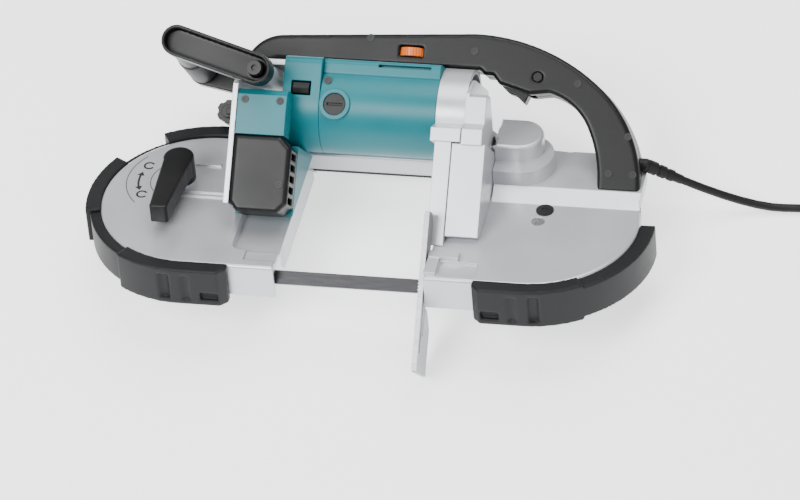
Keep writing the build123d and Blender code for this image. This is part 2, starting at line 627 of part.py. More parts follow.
with BuildPart() as brush_holders:
    for h0, h1 in ((MOTOR_H - 36, MOTOR_H - 15), (MOTOR_H + 15, MOTOR_H + 36)):
        cut_rod(BRUSH_X, BRUSH_U, h0, h1, 7)
        cut_box(BRUSH_X - 3.1, BRUSH_X + 3.1, BRUSH_U - 3.6, BRUSH_U + 3.6, h0 - 1, h1 + 1,
                mode=Mode.SUBTRACT)
pieces["brush_holders"] = brush_holders.part

with BuildPart() as carbon_brushes:
    for h0, h1 in ((MOTOR_H - 30, MOTOR_H - 12.3), (MOTOR_H + 12.3, MOTOR_H + 30)):
        cut_box(BRUSH_X - 3, BRUSH_X + 3, BRUSH_U - 3.5, BRUSH_U + 3.5, h0, h1)
pieces["carbon_brushes"] = carbon_brushes.part

with BuildPart() as brush_caps:
    for outer_h, inner_h in (
        (MOTOR_H - MOTOR_R - 0.5, MOTOR_H - 36.2), (MOTOR_H + MOTOR_R + 0.5, MOTOR_H + 36.2)
    ):
        h0, h1 = sorted((outer_h, inner_h))
        cut_rod(BRUSH_X, BRUSH_U, h0, h1, 10)
        slot0, slot1 = sorted((outer_h, outer_h + (1.5 if outer_h < MOTOR_H else -1.5)))
        cut_box(BRUSH_X - 7, BRUSH_X + 7, BRUSH_U - 1, BRUSH_U + 1, slot0, slot1, mode=Mode.SUBTRACT)
pieces["brush_caps"] = brush_caps.part

# ================================================================ gear housing and column
with BuildPart() as gear_housing:
    with BuildSketch(side_plane(HOUSING_LEFT)):
        with Locations((MOTOR_H, MOTOR_U)):
            Circle(MOTOR_R + 0.6)
        with BuildLine():
            Polyline((12, 132), (12, 144), (30, 150), (60, 190), (111, 190), (111, 135.5), (107.5, 132),
                     close=True)
        make_face()
    extrude(amount=COLUMN_SPLIT + 8 - HOUSING_LEFT)
    with BuildSketch(side_plane(COLUMN_LEFT)):
        with BuildLine():
            Polyline((COLUMN_H, 38.8), (COLUMN_H, 132.5), (108.2, 132.5), close=True)
        make_face()
    extrude(amount=COLUMN_SPLIT - COLUMN_LEFT)
    cut_box(COLUMN_SPLIT, COLUMN_SPLIT + 9, 110, 131.4, 0, 112, mode=Mode.SUBTRACT)
    # the cavity that holds the first reduction
    side_rod(HOUSING_LEFT + 5, COLUMN_SPLIT + 9, MOTOR_H, MOTOR_U, MOTOR_R - 3, mode=Mode.SUBTRACT)
    side_rod(COLUMN_LEFT + 4, COLUMN_SPLIT + 9, REDUCTION_H, REDUCTION_U, 25, mode=Mode.SUBTRACT)
    with BuildSketch(side_plane(COLUMN_LEFT + 4)):
        with BuildLine():
            Polyline((COLUMN_H + 3, 48), (COLUMN_H + 3, 129), (92, 129), (56, 84.6), close=True)
        make_face()
    extrude(amount=COLUMN_SPLIT, mode=Mode.SUBTRACT)
    # bearing seats
    side_rod(HOUSING_LEFT - 1, HOUSING_LEFT + 6, MOTOR_H, MOTOR_U, 9, mode=Mode.SUBTRACT)
    side_rod(COLUMN_LEFT + 2, COLUMN_LEFT + 6, REDUCTION_H, REDUCTION_U, 11, mode=Mode.SUBTRACT)
pieces["gear_housing"] = gear_housing.part

with BuildPart() as column_cover:
    with BuildSketch(side_plane(COLUMN_SPLIT + 0.8)):
        with BuildLine():
            Polyline((COLUMN_H, 48), (COLUMN_H, 131), (107.2, 131), (24.4, 48.2), (24.2, 48), close=True)
        make_face()
    extrude(amount=COLUMN_RIGHT - COLUMN_SPLIT - 0.8)
    # a lid over the first reduction, and a block in front of the reduction shaft's bearing
    with BuildSketch(side_plane(COLUMN_SPLIT + 8.8)):
        with BuildLine():
            Polyline((12, 130), (12, 144), (20, 150), (20, 177), (44, 192), (111, 192), (111, 135.5),
                     (106, 130), close=True)
        make_face()
    extrude(amount=3.4)
    with BuildSketch(side_plane(COLUMN_SPLIT + 8.8)):
        with BuildLine():
            Polyline((12, 130), (12, 144), (20, 150), (20, 174), (24, 177), (38, 177), (64, 151),
                     (111, 151), (111, 135.5), (106, 130), close=True)
        make_face()
    extrude(amount=COLUMN_RIGHT - COLUMN_SPLIT - 11.8)
    # the cavity behind the walls and the shaft bore through the right wall
    with BuildSketch(side_plane(COLUMN_SPLIT)):
        with BuildLine():
            Polyline((COLUMN_H + 3, 56), (COLUMN_H + 3, 127), (92, 127), (22, 56), close=True)
        make_face()
    extrude(amount=COLUMN_RIGHT - COLUMN_SPLIT - 3, mode=Mode.SUBTRACT)
    side_rod(COLUMN_SPLIT, COLUMN_SPLIT + 10, REDUCTION_H, REDUCTION_U, 25, mode=Mode.SUBTRACT)
    side_rod(COLUMN_SPLIT, COLUMN_SPLIT + 10, MOTOR_H, MOTOR_U, 22, mode=Mode.SUBTRACT)
    side_rod(COLUMN_SPLIT, COLUMN_RIGHT + 1, REDUCTION_H, REDUCTION_U, 12, mode=Mode.SUBTRACT)
pieces["column_cover"] = column_cover.part

with BuildPart() as gear_cover:
    for z0, z1, end_x, end_y, end_r in (
        (REAR_DECK_Z, 39, 130, 66, 28), (38.5, 55.5, 127.5, 74, 21)
    ):
        with BuildSketch(Plane.XY.offset(z0)):
            with Locations((end_x, end_y)):
                Circle(end_r)
            with Locations(((COLUMN_RIGHT + 0.4 + end_x) / 2, end_y)):
                Rectangle(end_x - COLUMN_RIGHT - 0.4, 2 * end_r)
        extrude(amount=z1 - z0)
    fillet(gear_cover.faces().sort_by(Axis.Z)[-1].edges().sort_by(Axis.X)[1:], 3)
    for z0, z1, end_x, end_y, end_r in (
        (REAR_DECK_Z - 1, 36.5, 130, 66, 25.5), (36, 53, 127.5, 74, 18.5)
    ):
        with BuildSketch(Plane.XY.offset(z0)):
            with Locations((end_x, end_y)):
                Circle(end_r)
            with Locations(((COLUMN_RIGHT - 5 + end_x) / 2, end_y)):
                Rectangle(end_x - COLUMN_RIGHT + 5, 2 * end_r)
        extrude(amount=z1 - z0, mode=Mode.SUBTRACT)
    box(90, COLUMN_RIGHT + 0.4, 30, 100, REAR_DECK_Z - 1, 60, mode=Mode.SUBTRACT)
pieces["gear_cover"] = gear_cover.part

# ================================================================ gear train
with BuildPart() as reduction_shaft:
    side_rod(62, 114.5, REDUCTION_H, REDUCTION_U, 5)
    with BuildSketch(side_plane(70.5)):
        with Locations((REDUCTION_H, REDUCTION_U)):
            Circle(REDUCTION_TEETH * STAGE_MODULE / 2 - 1.3)
            with PolarLocations(REDUCTION_TEETH * STAGE_MODULE / 2 - 0.9, REDUCTION_TEETH):
                Rectangle(1.5, 1.6)
    extrude(amount=9)
    pinion_x = CROSS_SHAFT_X - BEVEL_GEAR_R
    with BuildSketch(side_plane(pinion_x)):
        with Locations((REDUCTION_H, REDUCTION_U)):
            Circle(BEVEL_PINION_R - 0.5)
    with BuildSketch(side_plane(pinion_x + 6)):
        with Locations((REDUCTION_H, REDUCTION_U)):
            Circle((BEVEL_PINION_R - 0.5) * (1 - 6 / BEVEL_GEAR_R))
    loft()
    with BuildSketch(side_plane(pinion_x - 1)):
        with Locations((REDUCTION_H, REDUCTION_U)):
            with PolarLocations(BEVEL_PINION_R, BEVEL_PINION_TEETH):
                Rectangle(2.6, 1.7)
    extrude(amount=8, mode=Mode.SUBTRACT)
pieces["reduction_shaft"] = reduction_shaft.part

with BuildPart() as cross_shaft:
    wheel_rod(CROSS_SHAFT_X, CROSS_SHAFT_Y, -3.4, 40, 5)
    cone_low = Plane.XY.offset(BEVEL_Z - 4)
    with BuildSketch(cone_low):
        with Locations((CROSS_SHAFT_X, CROSS_SHAFT_Y)):
            Circle(BEVEL_GEAR_R - 1)
    extrude(amount=3.6)
    with BuildSketch(Plane.XY.offset(BEVEL_Z - 0.4)):
        with Locations((CROSS_SHAFT_X, CROSS_SHAFT_Y)):
            Circle(BEVEL_GEAR_R - 1)
    with BuildSketch(Plane.XY.offset(BEVEL_Z + 1.6)):
        with Locations((CROSS_SHAFT_X, CROSS_SHAFT_Y)):
            Circle(BEVEL_GEAR_R - 6.5)
    loft()
    with BuildSketch(Plane.XY.offset(BEVEL_Z - 2)):
        with Locations((CROSS_SHAFT_X, CROSS_SHAFT_Y)):
            with PolarLocations(BEVEL_GEAR_R - 2, BEVEL_GEAR_TEETH):
                Rectangle(5, 1.7)
    extrude(amount=4, mode=Mode.SUBTRACT)
    with BuildSketch(Plane.XY.offset(-3.4)):
        with Locations((CROSS_SHAFT_X, CROSS_SHAFT_Y)):
            with PolarLocations(DRIVE_PINION_R - 1.1, DRIVE_PINION_TEETH):
                Rectangle(1.9, 2)
    extrude(amount=10)
pieces["cross_shaft"] = cross_shaft.part

with BuildPart() as shaft_bearings:
    side_rod(-80, -74, MOTOR_H, MOTOR_U, 9, SHAFT_R + 0.05)
    side_rod(HOUSING_LEFT, HOUSING_LEFT + 5, MOTOR_H, MOTOR_U, 9, SHAFT_R + 0.05)
    side_rod(63, 68, REDUCTION_H, REDUCTION_U, 11, 5.05)
    side_rod(COLUMN_RIGHT - 12, COLUMN_RIGHT - 5, REDUCTION_H, REDUCTION_U, 12, 5.05)
    wheel_rod(CROSS_SHAFT_X, CROSS_SHAFT_Y, 15, 21, 11, 5.05)
pieces["shaft_bearings"] = shaft_bearings.part

# ================================================================ bracket and lamp
BRACKET_X = -124.0
PIVOT_X, PIVOT_U = -101.0, 183.5
with BuildPart() as motor_bracket:
    with BuildSketch(side_plane(BRACKET_X)):
        with BuildLine():
            Polyline((5, 64), (40.2, 64), (101, 124.8), (112, 135.8), (112, 200), (40, 200), (5, 172),
                     close=True)
        make_face()
    extrude(amount=4.6)
    cut_box(BRACKET_X, END_LEFT - 0.4, 195, 200, 36, 112)
    cut_rod(PIVOT_X, PIVOT_U, 3, 112, 11, 4.2)
    cut_box(BRACKET_X, PIVOT_X - 9, PIVOT_U - 3, PIVOT_U + 3, 5, 112)
    cut_box(PIVOT_X - 3, PIVOT_X + 3, PIVOT_U + 8, 197, 36, 112)
pieces["motor_bracket"] = motor_bracket.part

LAMP_LEFT = -118.8
LAMP_RIGHT = -66.0
LAMP_BACK = 33.6
with BuildPart() as lamp_cover:
    with BuildSketch(side_plane(LAMP_LEFT)):
        with BuildLine():
            Polyline((5, 127), (5, 163), (10, 168), (60, 168), (98, 132), (98, 121.6), (LAMP_BACK, 121.6),
                     (LAMP_BACK, 127), close=True)
        make_face()
    extrude(amount=END_LEFT - 0.6 - LAMP_LEFT)
    with BuildSketch(side_plane(END_LEFT - 0.6)):
        with BuildLine():
            Polyline((5, 127), (5, 163), (10, 168), (28, 168), (28, 127), close=True)
        make_face()
    extrude(amount=10.6)
    with BuildSketch(side_plane(LAMP_LEFT)):
        with BuildLine():
            Polyline((LAMP_BACK, 58.5), (LAMP_BACK, 121.8), (96.8, 121.8), close=True)
        make_face()
    extrude(amount=LAMP_RIGHT - LAMP_LEFT)
    # hollow from the bracket side
    with BuildSketch(side_plane(LAMP_LEFT - 1)):
        with BuildLine():
            Polyline((LAMP_BACK + 3, 69), (LAMP_BACK + 3, 130), (8, 130), (8, 162), (58, 165), (94, 130),
                     (94, 122), (89, 121.4), close=True)
        make_face()
    extrude(amount=END_LEFT - LAMP_LEFT - 3, mode=Mode.SUBTRACT)
pieces["lamp_cover"] = lamp_cover.part

with BuildPart() as lamp_housing:
    with BuildSketch(cut_plane(LAMP_BACK - 0.4)):
        with BuildLine():
            Polyline(
                (-118.6, 126.4), (-76, 126.4), (LAMP_RIGHT, 116), (LAMP_RIGHT, 66), (-74, 57.4),
                (-112, 57.4), (-118.6, 66), close=True,
            )
        make_face()
    extrude(amount=LAMP_BACK - 3.4)
    fillet(lamp_housing.faces().sort_by(Axis(Vector(0, 0, 0), Vector(0, -1, 1)))[-1].edges(), 4)
    cut_box(-114, -70, 64, 121, 7, 37, mode=Mode.SUBTRACT)
    # louvres down the side that faces the cut
    for louvre in range(5):
        cut_box(-71, LAMP_RIGHT + 1, 67 + louvre * 10, 73 + louvre * 10, 9, 26, mode=Mode.SUBTRACT)
pieces["lamp_housing"] = lamp_housing.part

with BuildPart() as lamp_tube:
    with BuildSketch(up_plane(66)):
        with Locations((-86, 14.5), (-86, 25.5)):
            Circle(4.6)
    extrude(amount=46)
    cut_box(-96, -76, 112, 120, 8, 32)
pieces["lamp_tube"] = lamp_tube.part

# ================================================================ front handle
GRIP_X, GRIP_U = -174.5, 204.5
FAR_GRIP_X, FAR_GRIP_U = -178.0, 197.0
ARM_R = 14.0
NEAR_H0, NEAR_H1 = -17.0, 2.6
FAR_H0, FAR_H1 = 112.4, 130.0


def arm(end_x, end_u, h0, h1, radius=ARM_R, mode=Mode.ADD):
    """A capsule-shaped arm from the pivot to one end of the grip."""
    with BuildSketch(cut_plane(h1)) as profile:
        with Locations(((end_x + PIVOT_X) / 2, (end_u + PIVOT_U) / 2)):
            SlotCenterToCenter(
                hypot(PIVOT_X - end_x, PIVOT_U - end_u), 2 * radius,
                rotation=degrees(atan2(PIVOT_U - end_u, PIVOT_X - end_x)),
            )
    extrude(profile.sketch, amount=h1 - h0, mode=mode)


def grip_plane(h):
    """Plane across the grip bar at this depth, square to the bar."""
    start = cut_point(GRIP_X, GRIP_U, NEAR_H1)
    end = cut_point(FAR_GRIP_X, FAR_GRIP_U, FAR_H0)
    along = end - start
    return Plane(origin=start + along * ((h - NEAR_H1) / (FAR_H0 - NEAR_H1)), z_dir=along)


GRIP_SPLIT_H = 52.0
with BuildPart() as front_handle_near_arm:
    arm(GRIP_X, GRIP_U, NEAR_H0, NEAR_H1)
    arm(GRIP_X, GRIP_U, NEAR_H0 - 1, NEAR_H0 + 11, ARM_R - 3, mode=Mode.SUBTRACT)
    cut_rod(PIVOT_X, PIVOT_U, NEAR_H0 + 2, NEAR_H1, 7)
    cut_rod(PIVOT_X, PIVOT_U, NEAR_H0, NEAR_H1 + 1, 4.2, mode=Mode.SUBTRACT)
    with BuildSketch(grip_plane(0)):
        Circle(12.5)
    extrude(amount=GRIP_SPLIT_H)
pieces["front_handle_near_arm"] = front_handle_near_arm.part

with BuildPart() as front_grip:
    with BuildSketch(grip_plane(GRIP_SPLIT_H + 0.4)):
        Circle(13.5)
    extrude(amount=FAR_H0 - GRIP_SPLIT_H - 2.4)
pieces["front_grip"] = front_grip.part

with BuildPart() as front_handle_far_arm:
    arm(FAR_GRIP_X, FAR_GRIP_U, FAR_H0, FAR_H1)
    arm(FAR_GRIP_X, FAR_GRIP_U, FAR_H1 - 10, FAR_H1 + 1, ARM_R - 3, mode=Mode.SUBTRACT)
    cut_rod(PIVOT_X, PIVOT_U, FAR_H0, FAR_H1 - 2, 7)
    cut_rod(PIVOT_X, PIVOT_U, FAR_H0 - 1, FAR_H1, 4.2, mode=Mode.SUBTRACT)
pieces["front_handle_far_arm"] = front_handle_far_arm.part

with BuildPart() as clamp_knob:
    cut_rod(-152, 160, 112.4, 116, 6)
    cut_rod(-152, 160, 116, 132, 11)
    with BuildSketch(cut_plane(133)):
        with Locations((-152, 160)):
            with PolarLocations(13.5, 6):
                Circle(4)
    extrude(amount=18, mode=Mode.SUBTRACT)
    cut_box(-152, BRACKET_X - 0.1, 157, 163, 108, 112.4)
pieces["clamp_knob"] = clamp_knob.part

with BuildPart() as front_handle_bolt:
    cut_rod(PIVOT_X, PIVOT_U, NEAR_H0 - 0.6, FAR_H1 + 1, 4)
    cut_rod(PIVOT_X, PIVOT_U, NEAR_H0 - 2, NEAR_H0 + 1.9, 6.4)
    cut_rod(PIVOT_X, PIVOT_U, FAR_H1 - 2, FAR_H1 + 4, 7)
    with BuildSketch(cut_plane(NEAR_H0 + 0.5)):
        with Locations((PIVOT_X, PIVOT_U)):
            RegularPolygon(3, 6)
    extrude(amount=3, mode=Mode.SUBTRACT)
pieces["front_handle_bolt"] = front_handle_bolt.part

# ================================================================ rear handle
TRIGGER_X0, TRIGGER_X1 = 104.0, 133.0
HANDLE_END_X = 239.0
CORD_EXIT_U = 131.0
DIAL_X, DIAL_U = 22.0, 218.5
LOCK_X, LOCK_U = 139.0, 202.0
CORD_HOLE_R = 6.0


def handle_outline(inset=0.0):
    """The rear handle seen along h: the bar over the motor, the bow and the foot."""
    with BuildLine() as outline:
        Line((-113, 201), (-131, 201))
        Line((-131, 201), (-127, 209))
        ThreePointArc((-127, 209), (-116, 221), (-98, 227.5))
        Line((-98, 227.5), (80, 238.3))
        bow = TangentArc((80, 238.3), (196, 196), tangent=(1, 0))
        TangentArc(bow @ 1, (HANDLE_END_X, 107), tangent=bow % 1)
        Line((HANDLE_END_X, 107), (HANDLE_END_X, 90))
        Line((HANDLE_END_X, 90), (200, 90))
        Line((200, 90), (200, 107))
        inner_bow = TangentArc((200, 107), (187, 160), tangent=(0, 1))
        TangentArc(inner_bow @ 1, (150, 188.5), tangent=inner_bow % 1)
        Line((150, 188.5), (133, 186))
        Line((133, 186), (104, 194))
        Line((104, 194), (98, 201.5))
        Line((98, 201.5), (90, 201.5))
        Line((90, 201.5), (86, 205.6))
        Line((86, 205.6), (-100, 205.6))
        Line((-100, 205.6), (-113, 201))
    with BuildSketch() as face:
        make_face(outline.edges())
        if inset:
            offset(amount=-inset, mode=Mode.REPLACE)
    return face.sketch


HANDLE_FACE = handle_outline()
HANDLE_CORE = handle_outline(HANDLE_WALL)
HANDLE_H0 = HANDLE_H - HANDLE_HALF
HANDLE_H1 = HANDLE_H + HANDLE_HALF
for half_name, h0, h1, core0, core1 in (
    ("handle_front_half", HANDLE_H0, HANDLE_H, HANDLE_H0 + HANDLE_WALL, HANDLE_H + 1),
    ("handle_rear_half", HANDLE_H, HANDLE_H1, HANDLE_H - 1, HANDLE_H1 - HANDLE_WALL),
):
    with BuildPart() as handle_half:
        with BuildSketch(cut_plane(h1)):
            add(HANDLE_FACE)
        extrude(amount=h1 - h0)
        outer = handle_half.faces().sort_by(Axis(Vector(0, 0, 0), Vector(0, -1, 1)))
        chamfer((outer[-1] if h0 < HANDLE_H - 1 else outer[0]).outer_wire().edges(), 2.5)
        with BuildSketch(cut_plane(core1)):
            add(HANDLE_CORE)
        extrude(amount=core1 - core0, mode=Mode.SUBTRACT)
        # openings for the trigger, the lock button and the dial
        cut_box(TRIGGER_X0, TRIGGER_X1 + 3, 180, 200, HANDLE_H - 8, HANDLE_H + 8, mode=Mode.SUBTRACT)
        cut_rod(LOCK_X, LOCK_U, HANDLE_H - 30, HANDLE_H, 4.6, mode=Mode.SUBTRACT)
        cut_box(DIAL_X - 11, DIAL_X + 11, DIAL_U - 5, DIAL_U + 5, HANDLE_H - 30, HANDLE_H - 12,
                mode=Mode.SUBTRACT)
        # the foot stands on the raised deck
        box(180, 260, 0, 140, REAR_DECK_Z - 60, REAR_DECK_Z, mode=Mode.SUBTRACT)
        # cord exit
        side_rod(220, 250, HANDLE_H, CORD_EXIT_U, CORD_HOLE_R, mode=Mode.SUBTRACT)
    pieces[half_name] = handle_half.part

TRIGGER_PIVOT = (108.0, 206.0)
with BuildPart() as trigger:
    with BuildSketch(cut_plane(HANDLE_H + 7)):
        with BuildLine():
            Polyline((105.8, 209), (105.8, 193), (112, 187.5), (119, 185.5), (127, 178.5), (130.5, 186.5),
                     (130.5, 209), close=True)
        make_face()
        with Locations(TRIGGER_PIVOT):
            Circle(1.6, mode=Mode.SUBTRACT)
    extrude(amount=14)
pieces["trigger"] = trigger.part

with BuildPart() as lock_button:
    cut_rod(LOCK_X, LOCK_U, HANDLE_H - HANDLE_HALF - 0.5, HANDLE_H - 6, 4.2)
    cut_rod(LOCK_X, LOCK_U, HANDLE_H - 11, HANDLE_H - 8, 6)
pieces["lock_button"] = lock_button.part

with BuildPart() as switch_body:
    cut_box(104, 136, 213, 226, HANDLE_H - 12, HANDLE_H + 12)
    cut_box(134, 150, 207, 213.5, HANDLE_H - 3, HANDLE_H + 12)
pieces["switch_body"] = switch_body.part

DIAL_R = 13.0
with BuildPart() as speed_dial:
    with BuildSketch(up_plane(DIAL_U - 3.8)):
        with Locations((DIAL_X, HANDLE_H - HANDLE_HALF + DIAL_R - 1.5)):
            Circle(DIAL_R - 0.7)
            with PolarLocations(DIAL_R - 0.9, 30):
                Rectangle(1.6, 1.5)
            Circle(1.5, mode=Mode.SUBTRACT)
    extrude(amount=7.6)
pieces["speed_dial"] = speed_dial.part

with BuildPart() as lamp_switch:
    with BuildSketch(side_plane(-75)):
        with BuildLine():
            Polyline((29.4, 169.4), (27.6, 174.5), (30, 179.6), (38, 179.6), (38, 169.4), close=True)
        make_face()
    extrude(amount=15)
pieces["lamp_switch"] = lamp_switch.part

# ================================================================ screws
with BuildPart() as case_screws:
    for x, u, h in (
        (-44, 183, 32.2), (-112, 158, 5), (-80, 158, 5), (-74, 83, 3),
        (80, 222, HANDLE_H0), (176, 198, HANDLE_H0),
        (225, 153, HANDLE_H0), (210, 119, HANDLE_H0), (232, 119, HANDLE_H0), (-16, 229, HANDLE_H0),
    ):
        cut_rod(x, u, h - 0.6, h, 3.4)
        cut_box(x - 0.6, x + 0.6, u - 2, u + 2, h - 0.7, h - 0.2, mode=Mode.SUBTRACT)
        cut_box(x - 2, x + 2, u - 0.6, u + 0.6, h - 0.7, h - 0.2, mode=Mode.SUBTRACT)
    # the plug in the right face
    wheel_rod(157.6, 13.9, FACE_Z, FACE_Z + 0.9, 8)
    wheel_rod(157.6, 13.9, FACE_Z + 0.4, FACE_Z + 1, 3.4, mode=Mode.SUBTRACT)
pieces["case_screws"] = case_screws.part


# ================================================================ standing on the bench
saw_box = Compound(children=[TIPPED * part for part in pieces.values()]).bounding_box()
STAND = Pos(-saw_box.center().X, -saw_box.center().Y, -saw_box.min.Z) * TIPPED
for name in pieces:
    pieces[name] = STAND * pieces[name]

# ================================================================ cord, drawn where it lies on the bench
GUARD_LENGTH = 36.0
GUARD_DROP = 31.5
exit_point = (STAND * Pos(*cut_point(HANDLE_END_X + 1.5, CORD_EXIT_U, HANDLE_H))).position
guard_dir = Vector(cos(radians(GUARD_DROP)), 0, -sin(radians(GUARD_DROP)))
guard_end = exit_point + guard_dir * GUARD_LENGTH

COIL_TURNS = 4
COIL_MID_R = 42.0
COIL_IN_R = COIL_MID_R - COIL_TURNS * CORD_D / 2
COIL_OUT_R = COIL_MID_R + COIL_TURNS * CORD_D / 2
COIL_X = 449.0
COIL_Y = 4.8

with BuildPart() as cord_guard:
    with BuildSketch(Plane(origin=exit_point - Vector(8, 0, 0), z_dir=(1, 0, 0))):
        Circle(CORD_HOLE_R)
    extrude(amount=8)
    with Locations(exit_point):
        Sphere(CORD_HOLE_R)
    for start, stop, radius in ((2, 10, 6.2), (13, 19, 5.8), (22, 27, 5.4)):
        with BuildSketch(Plane(origin=exit_point + guard_dir * start, z_dir=guard_dir)):
            Circle(radius)
        extrude(amount=stop - start)
    with BuildSketch(Plane(origin=exit_point, z_dir=guard_dir)):
        Circle(5.4)
    with BuildSketch(Plane(origin=guard_end, z_dir=guard_dir)):
        Circle(4.2)
    loft()
pieces["cord_guard"] = cord_guard.part

cord_runs = (
    (tuple(guard_end), (330.6, 62.0, CORD_R), (392.0, 66.0, CORD_R), (COIL_X, COIL_Y + COIL_OUT_R, CORD_R)),
    (
        (COIL_X + COIL_OUT_R, COIL_Y, 3 * CORD_R), (COIL_X + COIL_OUT_R + 1.5, COIL_Y - 38, 10),
        (COIL_X + COIL_OUT_R + 5, COIL_Y - 75, 12),
    ),
)
with BuildPart() as power_cord:
    for points in cord_runs:
        vectors = [Vector(*point) for point in points]
        runs = [after - before for before, after in zip(vectors, vectors[1:])]
        radii = []
        for arriving, leaving in zip(runs, runs[1:]):
            half_turn = radians(arriving.get_angle(leaving)) / 2
            radii.append(0.45 * min(arriving.length, leaving.length) / tan(half_turn))
        print("cord bend radii", [round(radius, 1) for radius in radii])
        with BuildLine() as route:
            FilletPolyline(*points, radius=radii)
        with BuildSketch(Plane(origin=points[0], z_dir=route.line % 0)):
            Circle(CORD_R)
        sweep(path=route.line)
pieces["power_cord"] = power_cord.part

with BuildPart() as cord_coil:
    wheel_rod(COIL_X, COIL_Y, 0, 2 * CORD_D, COIL_OUT_R + CORD_R, COIL_IN_R - CORD_R)
pieces["cord_coil"] = cord_coil.part

PLUG_Z = 12.0
plug_end = Vector(*cord_runs[1][-1])
with BuildPart() as plug:
    with BuildSketch(Plane(origin=plug_end, x_dir=(1, 0, 0), z_dir=(0, -1, 0))):
        Circle(4.6)
    with BuildSketch(Plane(origin=plug_end - Vector(0, 24, 0), x_dir=(1, 0, 0), z_dir=(0, -1, 0))):
        Circle(7)
    loft()
    with BuildSketch(Plane(origin=plug_end - Vector(0, 24, 0), x_dir=(1, 0, 0), z_dir=(0, -1, 0))):
        RectangleRounded(36, 2 * PLUG_Z, 8)
    extrude(amount=34)
    for pin in (-9.5, 9.5):
        with BuildSketch(Plane(origin=plug_end - Vector(-pin, 58, 0), x_dir=(1, 0, 0), z_dir=(0, -1, 0))):
            Circle(2.4)
        extrude(amount=19)
pieces["plug"] = plug.part

for name, part in pieces.items():
    part.label = name
    export_step(part, f"parts/{name}.step")
print("box", saw_box.size, "tilt", degrees(TILT), "shift", saw_box.center(), saw_box.min.Z)
print("cord exit", exit_point, "guard end", guard_end)
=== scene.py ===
import json
from math import cos, pi, radians, sin

import bmesh
import bpy
from mathutils import Matrix, Vector

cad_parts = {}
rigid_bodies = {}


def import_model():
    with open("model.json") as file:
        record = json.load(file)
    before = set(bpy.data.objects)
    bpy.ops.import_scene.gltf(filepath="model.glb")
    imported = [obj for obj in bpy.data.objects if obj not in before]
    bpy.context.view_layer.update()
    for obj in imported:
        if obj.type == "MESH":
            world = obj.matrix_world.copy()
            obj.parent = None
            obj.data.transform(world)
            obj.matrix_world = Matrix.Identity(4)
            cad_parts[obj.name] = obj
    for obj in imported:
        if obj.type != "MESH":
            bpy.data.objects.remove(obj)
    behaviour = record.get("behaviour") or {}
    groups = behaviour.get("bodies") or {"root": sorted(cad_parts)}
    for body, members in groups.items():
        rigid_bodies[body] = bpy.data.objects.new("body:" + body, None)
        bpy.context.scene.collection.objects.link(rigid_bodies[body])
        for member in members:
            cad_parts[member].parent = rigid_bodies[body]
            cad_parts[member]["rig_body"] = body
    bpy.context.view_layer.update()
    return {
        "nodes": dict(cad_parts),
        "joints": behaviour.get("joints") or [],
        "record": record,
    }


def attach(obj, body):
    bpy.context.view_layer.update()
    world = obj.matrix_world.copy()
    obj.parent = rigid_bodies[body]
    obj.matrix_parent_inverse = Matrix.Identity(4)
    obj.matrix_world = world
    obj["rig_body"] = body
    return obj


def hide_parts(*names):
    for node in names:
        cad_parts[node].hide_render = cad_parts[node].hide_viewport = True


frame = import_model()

MM = 0.001
DRIVE_WHEEL = (154.2, -2.0)
FACE_Z = 16.5
LEVER = (-178.0, 24.0)
BODY = "saw"

# ================================================================ the saw's own axes, read off its joints
joints = {joint["name"]: joint for joint in frame["joints"]}
across = Vector((1, 0, 0))
axle = Vector(joints["drive_wheel_spin"]["axis"])
back = axle.cross(across)
origin = Vector(joints["drive_wheel_spin"]["pos_m"])
origin -= (across * DRIVE_WHEEL[0] + back * DRIVE_WHEEL[1]) * MM


def axes(x_axis, y_axis, z_axis, place):
    """Matrix from millimetres along three axes to metres on the bench."""
    turn = Matrix((x_axis, y_axis, z_axis)).transposed().to_4x4()
    return Matrix.Translation(place) @ turn @ Matrix.Scale(MM, 4)


SAW = axes(across, back, axle, origin)


# ================================================================ camera
CAMERA_DISTANCE = 4892.0
CAMERA_LENS = 245.7
LOOK_BACK = Vector((0.1935, -0.7612, 0.6190))
LOOK_RIGHT = Vector((0.9791, 0.1908, -0.0715))
LOOK_UP = Vector((-0.0637, 0.6198, 0.7822))
AIM = LOOK_RIGHT * 26.8 - LOOK_UP * 23.7

camera_data = bpy.data.cameras.new("camera")
camera_data.lens = CAMERA_LENS
camera_data.sensor_width = 36
camera_data.clip_end = 50
camera = bpy.data.objects.new("camera", camera_data)
bpy.context.scene.collection.objects.link(camera)
turn = SAW.to_3x3().normalized()
camera_turn = Matrix((turn @ LOOK_RIGHT, turn @ LOOK_UP, turn @ LOOK_BACK)).transposed()
camera_place = SAW @ (AIM + LOOK_BACK * CAMERA_DISTANCE)
camera.matrix_world = Matrix.Translation(camera_place) @ camera_turn.to_4x4()
bpy.context.scene.camera = camera


# ================================================================ cord
CORD_D = 0.0076
CORD_R = CORD_D / 2
COIL_TURNS = 4
COIL_MID_R = 0.042
COIL_IN_R = COIL_MID_R - COIL_TURNS * CORD_D / 2
COIL_OUT_R = COIL_MID_R + COIL_TURNS * CORD_D / 2
COIL = Vector((0.449, 0.0048, 0))
POINTS_PER_TURN = 12
GUARD_END = (0.271195, 0.0623275, 0.0391948)


def coil_points():
    """The coil's turns: inwards on the bench, up one layer, and outwards again on top."""
    for step in range(int((2 * COIL_TURNS + 0.25) * POINTS_PER_TURN) + 1):
        turns = step / POINTS_PER_TURN
        angle = pi / 2 - 2 * pi * turns
        if turns <= COIL_TURNS:
            radius = COIL_OUT_R - CORD_D * turns
            height = CORD_R
        else:
            radius = min(COIL_OUT_R, COIL_IN_R + CORD_D * (turns - COIL_TURNS))
            height = CORD_R + CORD_D * min(1.0, 2 * (turns - COIL_TURNS))
        yield COIL + Vector((radius * cos(angle), radius * sin(angle), height))


